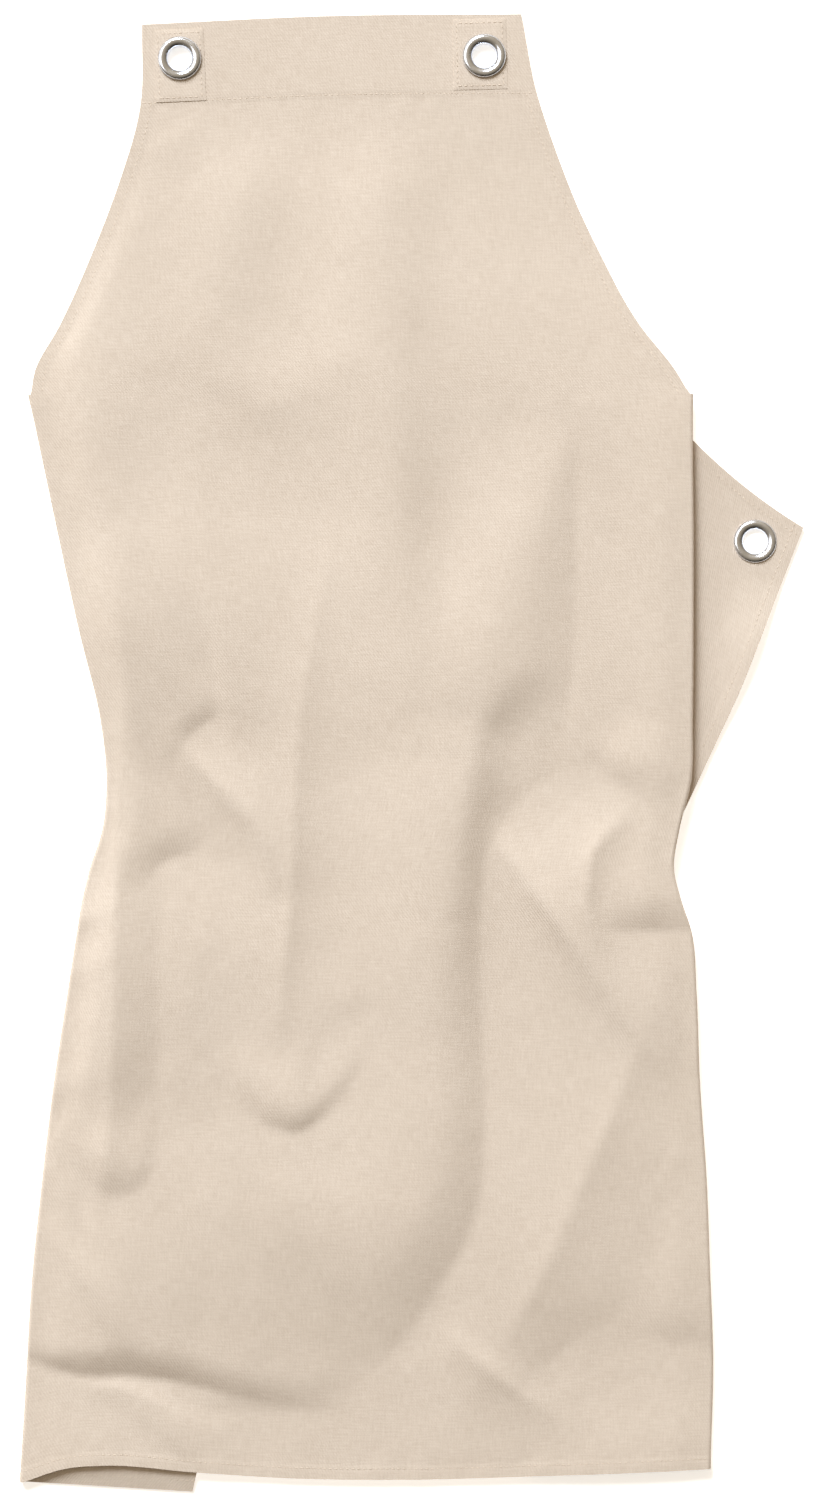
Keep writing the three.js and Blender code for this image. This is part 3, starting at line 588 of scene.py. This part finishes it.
# the corner that is folded out again
creaseLine = (creaseTop - creaseEnd) / np.linalg.norm(creaseTop - creaseEnd)
outOfCrease = (-creaseLine[1], creaseLine[0])
narrow = smoothStep(apron["creaseNarrows"], 1, creaseShare[:, 0])
creaseReach = (1 - narrow) * (innerEdge[:, 2] - apron["onWasher"]) / 2 + narrow * apron["creaseEndRadius"]
wingRoll = turnUnder(innerEdge, outOfCrease, creaseReach, innerEdge[:, 2] - 2 * creaseReach,
                     apron["rollSteps"])
across = np.array(apron["wingTip"]) - creaseTop
acrossLength = np.linalg.norm(across)
wingWidth = acrossLength + (apron["wingEndWidth"] - acrossLength) * creaseShare
wingEdge = wingRoll[:, -1] + np.concatenate([across / acrossLength * wingWidth, 0 * wingWidth], axis=1)
bendGrows = smoothStep(*apron["wingBendGrows"], -wingEdge[:, 1])
bendFades = smoothStep(*apron["wingBendFades"], wingEdge[:, 1])
wingEdge[:, 0] -= apron["wingBend"] * bendGrows * bendFades
wingShares = hemmedShares(wingRoll[:, -1], wingEdge, apron["wingColumns"])
wing = layerBetween(wingRoll[:, -1], wingEdge, wingShares, apron["wingBow"] * bowShare)
wingY, beside = wing[:, :, 1], wing[:, :, 0] - rightX[:, None]
lifted = smoothStep(0, apron["wingLiftLength"], apron["wingLiftStart"] - wingY)
lifted = lifted * smoothStep(*apron["wingLiftEnd"], wingY) * smoothStep(*apron["wingLiftBeside"], beside)
bulged = np.exp(-((beside + apron["wingBulgeInset"]) / apron["wingBulgeReach"]) ** 2)
wing[:, :, 2] += apron["wingBulge"] * bulged
wing[:, :, 2] += apron["wingLift"] * lifted

# all grid columns of the unfolded sheet, from the free edge of the left layer to the side edge of the wing
sections = [("leftLayer", leftLayer[:, ::-1]), ("leftRoll", leftRoll[:, ::-1]), ("front", front),
            ("rightRoll", rightRoll), ("rightLayer", rightLayer), ("wingRoll", wingRoll), ("wing", wing)]
columnsOf, firstColumn = {}, 0
for name, points in sections:
    columnsOf[name] = slice(firstColumn, firstColumn + points.shape[1])
    firstColumn += points.shape[1]
place = np.concatenate([points for _, points in sections], axis=1)
frontStart, frontEnd = columnsOf["front"].start, columnsOf["front"].stop
place[:armRow, :frontStart] = place[:armRow, frontStart:frontStart + 1]  # the bib has no side layers
place[:armRow, frontEnd:] = place[:armRow, frontEnd - 1:frontEnd]
rowCount, columnCount = place.shape[:2]

# the wall, from where each hem lies, the distance from its edge, its width and its stitches
stepLength = np.linalg.norm(np.diff(place, axis=1), axis=2)
acrossCloth = np.concatenate([np.zeros((rowCount, 1)), np.cumsum(stepLength, axis=1)], axis=1)
columns = np.arange(columnCount)
onWing = onSkirt & (np.arange(rowCount) <= creaseRow)[:, None] & (columns >= columnsOf["wing"].start)
onSides = onSkirt & ((columns < frontStart) | (columns >= frontEnd))
bibDistance = np.full(place.shape[:2], np.inf)
bibDistance[:, frontStart:frontEnd] = fromEdge
sideHem = apron["hemWidth"], apron["hemStitch"]
wall = np.full(place.shape[:2], apron["cloth"])
for where, distance, (hemWide, stitchAt) in (
        (True, apron["length"] - down, sideHem),
        (onSkirt, acrossCloth, sideHem),
        (onWing, acrossCloth[:, -1:] - acrossCloth, sideHem),
        (onSides, down - apron["armCorner"], sideHem),
        (~onSkirt, bibDistance, sideHem),
        (~onSkirt, down, (apron["topSeam"] + 1, apron["topSeam"]))):
    wall = np.maximum(wall, np.where(where, hemWall(distance, hemWide, stitchAt), apron["cloth"]))
place[:, :, 2] = np.maximum(place[:, :, 2], wall / 2)

# the way the cloth faces, none where the bib's side columns collapse
facing = np.cross(np.gradient(place, axis=0), np.gradient(place, axis=1))
facing /= np.maximum(np.linalg.norm(facing, axis=2, keepdims=True), 1e-9)

# eyelets: x, y, height of the flange's underside, grip between flange and washer, middle of the cloth
eyelets = {
    "bib_left": {"x": -135, "y": 403.5, "seat": 4.7, "grip": 3.8, "cloth": 2.15, "faceDown": False},
    "bib_right": {"x": 42, "y": 405, "seat": 4.7, "grip": 3.8, "cloth": 2.15, "faceDown": False},
    "side_right": {"x": 199.5, "y": 123, "seat": 2.7, "grip": 1.8, "cloth": 1.8, "faceDown": False},
    "side_left": {"x": -117, "y": 186, "seat": 1.5, "grip": 1.8, "cloth": 2.4, "faceDown": True},
}
hole = {"radius": 8.3, "margin": 1, "level": 1.5}  # layers further up or down than its level stay whole


# opens a round hole for an eyelet in a flat grid of cloth
def openHole(bm, eyelet):
    centre = Vector((eyelet["x"] * mm, eyelet["y"] * mm, eyelet["cloth"] * mm))
    reach = (hole["radius"] + hole["margin"]) * mm
    middles = [(f, f.calc_center_median() - centre) for f in bm.faces]
    inside = {f for f, away in middles if abs(away.z) < hole["level"] * mm and away.xy.length < reach}
    rim = {v for f in inside for v in f.verts if not all(g in inside for g in v.link_faces)}
    bmesh.ops.delete(bm, geom=list(inside), context="FACES")
    for v in rim:
        v.co.xy = centre.xy + (v.co - centre).xy.normalized() * hole["radius"] * mm


def finishPiece(name, bm, material, slot, *nodes):
    mesh = bpy.data.meshes.new(name)
    bm.to_mesh(mesh)
    bm.free()
    mesh.materials.append(material)
    mesh.shade_smooth()
    piece = bpy.data.objects.new(name, mesh)
    scene.collection.objects.link(piece)
    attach(piece, "root")
    if nodes:
        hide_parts(*nodes)
    return piece


def addWall(piece, thickest):
    piece.vertex_groups.new(name="wall")
    solidify = piece.modifiers.new("wall", "SOLIDIFY")
    solidify.thickness = thickest * mm
    solidify.offset = 0
    solidify.vertex_group = "wall"
    solidify.thickness_vertex_group = 0
    return piece


# a sheet of cloth from rows and columns of points in millimetres, with its weave coordinates and its wall
def clothGrid(points, walls, thickest, weaveX, weaveY, keep):
    rows, columns = points.shape[:2]
    bm = bmesh.new()
    bmesh.ops.create_grid(bm, x_segments=columns - 1, y_segments=rows - 1, size=1)
    weave = bm.loops.layers.uv.new("weave")
    group = bm.verts.layers.deform.verify()
    spot = {}
    for v in bm.verts:
        row = round((1 - v.co.y) / 2 * (rows - 1))
        column = round((1 + v.co.x) / 2 * (columns - 1))
        spot[v] = (row, column)
        v[group][0] = float(walls[row, column] / thickest)
    for face in bm.faces:
        for loop in face.loops:
            at = spot[loop.vert]
            loop[weave].uv = (weaveX[at] * mm, weaveY[at] * mm)
    outside = [f for f in bm.faces
               if not keep[min(spot[v][0] for v in f.verts), min(spot[v][1] for v in f.verts)]]
    for v in bm.verts:
        v.co = Vector(points[spot[v]]) * mm
    bmesh.ops.delete(bm, geom=outside, context="FACES")
    for edge in bm.edges:
        edge.smooth = not edge.is_boundary  # the wall meets both faces of the cloth at a clear edge
    return bm


keep = np.ones((rowCount - 1, columnCount - 1), bool)
keep[:armRow, :frontStart] = False
keep[:armRow, frontEnd - 1:] = False
keep[creaseRow:, columnsOf["wingRoll"].start - 1:] = False
weaveX = acrossCloth - acrossCloth[:, frontStart:frontEnd].mean(axis=1, keepdims=True)
bm = clothGrid(place, wall, apron["hem"], weaveX, np.broadcast_to(-down, place.shape[:2]), keep)
for eyelet in eyelets.values():
    openHole(bm, eyelet)
apronCloth = addWall(finishPiece("apron_cloth", bm, twillCloth, "twill", "apron_body"), apron["hem"])
print("apron cloth made,", len(apronCloth.data.polygons), "faces before its wall")

# squares of cloth sewn under the eyelets of the bib
patches = {
    "eyelet_patch_left": {
        "x": -135, "y": 399.5, "width": 29, "height": 42, "turn": 2.5, "eyelet": "bib_left"},
    "eyelet_patch_right": {
        "x": 39.5, "y": 406, "width": 31, "height": 41, "turn": 1.5, "eyelet": "bib_right"},
}
patchCloth = {
    "middle": 3.18,
    "tilt": 0.02,  # lies on the top hem, which rises towards its seam
    "droop": 0.17,  # of its edges
    "droopSlope": 4,
    "wall": 0.6,
    "edge": 0.24,  # wall at its edge
    "edgeSlope": 1.6,
    "stitch": 2.2,  # stitches from the edge
    "stitchRise": 0.22,
    "stitchPoints": 30,
    "pull": 0.12,  # how much thinner its stitches make it
    "pullReach": 0.7,
    "columns": 30,
    "rows": 40,
}
seams = []  # each seam: points on the cloth and the way the cloth faces there


def patchPoints(patch, alongX, alongY, height):
    turn = math.radians(patch["turn"])
    placeX = patch["x"] + alongX * math.cos(turn) - alongY * math.sin(turn)
    placeY = patch["y"] + alongX * math.sin(turn) + alongY * math.cos(turn)
    belowHole = eyelets[patch["eyelet"]]["y"] - placeY
    return np.stack([placeX, placeY, height + patchCloth["tilt"] * belowHole], axis=-1)


for name, patch in patches.items():
    alongX, alongY = np.meshgrid(np.linspace(-0.5, 0.5, patchCloth["columns"]) * patch["width"],
                                 np.linspace(0.5, -0.5, patchCloth["rows"]) * patch["height"])
    toEdge = np.minimum(patch["width"] / 2 - np.abs(alongX), patch["height"] / 2 - np.abs(alongY))
    pulled = np.exp(-((toEdge - patchCloth["stitch"]) / patchCloth["pullReach"]) ** 2)
    thicker = (patchCloth["wall"] - patchCloth["edge"]) * smoothStep(0, patchCloth["edgeSlope"], toEdge)
    walls = patchCloth["edge"] + thicker - patchCloth["pull"] * pulled
    drooped = patchCloth["droop"] * (1 - smoothStep(0, patchCloth["droopSlope"], toEdge))
    points = patchPoints(patch, alongX, alongY, patchCloth["middle"] - drooped)
    everyFace = np.ones((patchCloth["rows"] - 1, patchCloth["columns"] - 1), bool)
    bm = clothGrid(points, walls, patchCloth["wall"], alongX, alongY, everyFace)
    openHole(bm, dict(eyelets[patch["eyelet"]], cloth=patchCloth["middle"]))
    patchPiece = finishPiece(name + "_cloth", bm, twillCloth, "twill", name)
    addWall(patchPiece, patchCloth["wall"])
    a, b = patch["width"] / 2 - patchCloth["stitch"], patch["height"] / 2 - patchCloth["stitch"]
    corners = [(-a, b), (-a, -b), (a, -b), (a, b), (-a, b)]
    t = np.linspace(0, 1, patchCloth["stitchPoints"])
    for (x0, y0), (x1, y1) in zip(corners[:-1], corners[1:]):
        height = 0 * t + patchCloth["middle"] + patchCloth["stitchRise"]
        line = patchPoints(patch, x0 + (x1 - x0) * t, y0 + (y1 - y0) * t, height)
        seams.append((line, np.tile([0.0, 0.0, 1.0], (len(t), 1))))
print("patches made")

# rows of stitches in the hems and the top seam
stitch = {"pitch": 3.3, "length": 2.5, "wide": 0.5, "high": 0.34, "sides": 6, "rings": 4}
stitchColumn = int(np.argmin(np.abs(hemSteps - apron["hemStitch"])))
bottomRow = rowCount - 1 - stitchColumn
seamRow = int(np.argmin(np.abs(rowsDown - apron["topSeam"])))


# a row of stitches on the face (1) or the back (-1) of the cloth
def addSeam(rows, columns, face):
    points = place[rows, columns] + face * facing[rows, columns] * wall[rows, columns][..., None] / 2
    seams.append((points, face * facing[rows, columns]))


addSeam(slice(seamRow, armRow + 1), frontStart + stitchColumn, 1)  # arm curves
addSeam(slice(seamRow, armRow + 1), frontEnd - 1 - stitchColumn, 1)
addSeam(seamRow, slice(frontStart + 1, frontEnd - 1), 1)  # top seam
addSeam(bottomRow, slice(1, columnsOf["rightLayer"].stop), 1)  # lower hem
addSeam(bottomRow, columnsOf["leftLayer"], -1)
addSeam(slice(armRow, rowCount), stitchColumn, 1)  # free edge of the left layer
addSeam(slice(armRow, creaseRow - 2), columnCount - 1 - stitchColumn, 1)  # side of the wing, short of its end
addSeam(armRow + stitchColumn, slice(columnsOf["wing"].start, columnCount - 1), 1)  # arm edges of the sides
addSeam(armRow + stitchColumn, slice(1, frontStart), 1)

bm = bmesh.new()
bmesh.ops.create_uvsphere(bm, u_segments=stitch["sides"], v_segments=stitch["rings"], radius=0.5)
oneStitch = np.array([v.co for v in bm.verts]) * (stitch["length"], stitch["wide"], stitch["high"])
oneStitchFaces = [[v.index for v in f.verts] for f in bm.faces]
bm.free()
stitchPoints, stitchFaces = [], []
for points, up in seams:
    along = np.concatenate([[0], np.cumsum(np.linalg.norm(np.diff(points, axis=0), axis=1))])
    starts = np.arange(0, along[-1] - stitch["length"], stitch["pitch"])
    first, last, normal = (
        np.stack([np.interp(at, along, values[:, k]) for k in range(3)], axis=1) for at, values in (
            (starts, points), (starts + stitch["length"], points), (starts + stitch["length"] / 2, up)))
    heading = (last - first) / np.linalg.norm(last - first, axis=1, keepdims=True)
    sideways = np.cross(normal, heading)
    sideways /= np.linalg.norm(sideways, axis=1, keepdims=True)
    axes = np.stack([heading, sideways, np.cross(heading, sideways)], axis=1)
    for middle, turn in zip((first + last) / 2, axes):
        stitchFaces += [[k + len(stitchPoints) * len(oneStitch) for k in face] for face in oneStitchFaces]
        stitchPoints.append(middle + oneStitch @ turn)
threads = bpy.data.meshes.new("apron_stitching")
threads.from_pydata(np.concatenate(stitchPoints) * mm, [], stitchFaces)
bm = bmesh.new()
bm.from_mesh(threads)
bpy.data.meshes.remove(threads)
stitching = finishPiece("apron_stitching", bm, sewingThread, "twill")
print("stitching made,", len(stitchPoints), "stitches")

# eyelets and washers, turned from profiles of radius and height
eyeletMetal = {
    "flange": [  # height above the underside of the flange
        (12.1, -0.45), (12.6, -0.45), (12.65, -0.1), (12.3, 0.55), (11.6, 1.15), (10.8, 1.46), (9.9, 1.5),
        (9, 1.25), (8.1, 0.7), (7.35, 0), (7, -0.8)],
    "flare": [  # height above the lower end
        (7, 0.95), (7.2, 0.35), (7.9, 0.02), (8.55, 0.06), (8.35, 0.4), (7.95, 0.7), (7.8, 1.1)],
    "underside": [(7.8, -0.5), (8.1, -0.2), (9, 0.55), (10.4, 0.8), (11.6, 0.3)],
    "washer": [  # height above its lower face
        (9.1, 0.05), (9.6, 0), (11.4, 0), (11.9, 0.25), (11.9, 0.75), (11.4, 1.05), (8.6, 1.05), (8.2, 0.8)],
    "thickness": 0.9,
    "steps": 48,
    "merge": 0.01,
}


def turnedPiece(name, profile, material, node, eyelet):
    bm = bmesh.new()
    ring = [bm.verts.new((radius * mm, 0, height * mm)) for radius, height in profile]
    edges = [bm.edges.new((ring[k - 1], ring[k])) for k in range(len(ring))]
    bmesh.ops.spin(bm, geom=ring + edges, cent=(0, 0, 0), axis=(0, 0, 1), angle=2 * math.pi,
                   steps=eyeletMetal["steps"], use_merge=True)
    bmesh.ops.remove_doubles(bm, verts=bm.verts, dist=eyeletMetal["merge"] * mm)
    bmesh.ops.recalc_face_normals(bm, faces=bm.faces)
    flip = Matrix.Rotation(math.pi if eyelet["faceDown"] else 0, 4, "X")
    seat = Matrix.Translation(Vector((eyelet["x"], eyelet["y"], eyelet["seat"])) * mm)
    bmesh.ops.transform(bm, matrix=seat @ flip, verts=bm.verts)
    piece = finishPiece(name, bm, material, "nickel", node)
    smooth = piece.modifiers.new("rounding", "SUBSURF")
    smooth.levels = smooth.render_levels = 1


for name, eyelet in eyelets.items():
    lowerEnd = -eyelet["grip"] - eyeletMetal["thickness"]
    flare, washer = ([(radius, lowerEnd + height) for radius, height in eyeletMetal[part]]
                     for part in ("flare", "washer"))
    barrel = eyeletMetal["flange"] + flare + eyeletMetal["underside"]
    turnedPiece("nickel_eyelet_" + name, barrel, nickelPlate, "eyelet_" + name, eyelet)
    turnedPiece("nickel_washer_" + name, washer, nickelBack, "washer_" + name, eyelet)
print("eyelets made")

# studio: a pale table that glows, painted light that lifts the cloth's shadows on it, one large soft light
# above the top left, a surround that darkens away from that light
studio = {
    "floor": "#fbfaf8",
    "floorSize": 24,  # wide enough to fill every view
    "floorGlow": 0.6,  # painted light: the table glows and so lifts the shadows of the cloth on it
    "aim": (0, 0.1, 0),
    "lightDistance": 16,
    "lightAzimuth": 112,
    "lightElevation": 37,
    "lightSize": 6.6,
    "lightPower": 3640,
    "lightColour": "#f1f8ff",
    "surroundColour": "#ffeaca",
    "surroundDark": 0.02,
    "surroundBright": 0.66,
    "surroundDarkEnd": -0.5,  # cosine of the angle from the light where the surround is darkest
    "cardSize": 4.2,  # the card whitens reflections only
    "cardPower": 110,
    "cardColour": "#ffffff",
    "cardFrom": (-3.6, 1.2, 3.2),
}
bm = bmesh.new()
bmesh.ops.create_grid(bm, x_segments=1, y_segments=1, size=studio["floorSize"])
floorMesh = bpy.data.meshes.new("table")
bm.to_mesh(floorMesh)
bm.free()
floor = bpy.data.objects.new("table", floorMesh)
scene.collection.objects.link(floor)
floorPaintAndGlow, tree = newMaterial("table_paint_matt_glowing")
# the table's matt paint also glows in its own colour: painted light that lifts the shadows the cloth casts on
# it
shader = addNode(tree, "ShaderNodeBsdfPrincipled", {
    "Base Color": linearColour(studio["floor"]), "Roughness": 0.9, "Specular IOR Level": 0.2,
    "Emission Color": linearColour(studio["floor"]), "Emission Strength": studio["floorGlow"]}, {})
addNode(tree, "ShaderNodeOutputMaterial", {}, {"Surface": shader.outputs["BSDF"]})
floorMesh.materials.append(floorPaintAndGlow)


def areaLight(name, size, power, colour, offset):
    lamp = bpy.data.lights.new(name, "AREA")
    lamp.shape = "SQUARE"
    lamp.size = size
    lamp.energy = power
    lamp.color = linearColour(colour)[:3]
    light = bpy.data.objects.new(name, lamp)
    light.location = Vector(studio["aim"]) + offset
    light.rotation_euler = offset.to_track_quat("Z", "Y").to_euler()
    scene.collection.objects.link(light)
    return light


azimuth, elevation = math.radians(studio["lightAzimuth"]), math.radians(studio["lightElevation"])
towards = Vector((math.cos(azimuth) * math.cos(elevation), math.sin(azimuth) * math.cos(elevation),
                  math.sin(elevation)))
areaLight("softbox", studio["lightSize"], studio["lightPower"], studio["lightColour"],
          towards * studio["lightDistance"])
card = areaLight("white card", studio["cardSize"], studio["cardPower"], studio["cardColour"],
                 Vector(studio["cardFrom"]))
card.visible_diffuse = False

world = bpy.data.worlds.new("surround")
scene.world = world
world.use_nodes = True
tree = world.node_tree
tree.nodes.clear()
direction = addNode(tree, "ShaderNodeTexCoord", {}, {}).outputs["Generated"]
facingLight = addNode(tree, "ShaderNodeVectorMath", {"operation": "DOT_PRODUCT", 1: towards}, {0: direction})
glow = addNode(tree, "ShaderNodeMapRange", {
    "From Min": studio["surroundDarkEnd"], "From Max": 1,
    "To Min": studio["surroundDark"], "To Max": studio["surroundBright"]},
    {"Value": facingLight.outputs["Value"]})
background = addNode(tree, "ShaderNodeBackground", {"Color": linearColour(studio["surroundColour"])},
                     {"Strength": glow.outputs["Result"]})
addNode(tree, "ShaderNodeOutputWorld", {}, {"Surface": background.outputs["Background"]})
scene.view_settings.view_transform = "Standard"

# camera straight above, with the photograph's frame of 820 by 1500 at 0.58 mm to a pixel
view = {"lens": 85, "sensor": 36, "frameHeight": 1500 * 0.58, "x": -1.2, "y": 1.7, "clothHeight": 7}
camera = bpy.data.cameras.new("photo camera")
camera.lens = view["lens"]
camera.sensor_fit = "VERTICAL"
camera.sensor_height = view["sensor"]
photoCamera = bpy.data.objects.new("photo camera", camera)
distance = view["frameHeight"] * view["lens"] / view["sensor"]
photoCamera.location = Vector((view["x"], view["y"], view["clothHeight"] + distance)) * mm
scene.collection.objects.link(photoCamera)
scene.camera = photoCamera
print("studio and camera set")
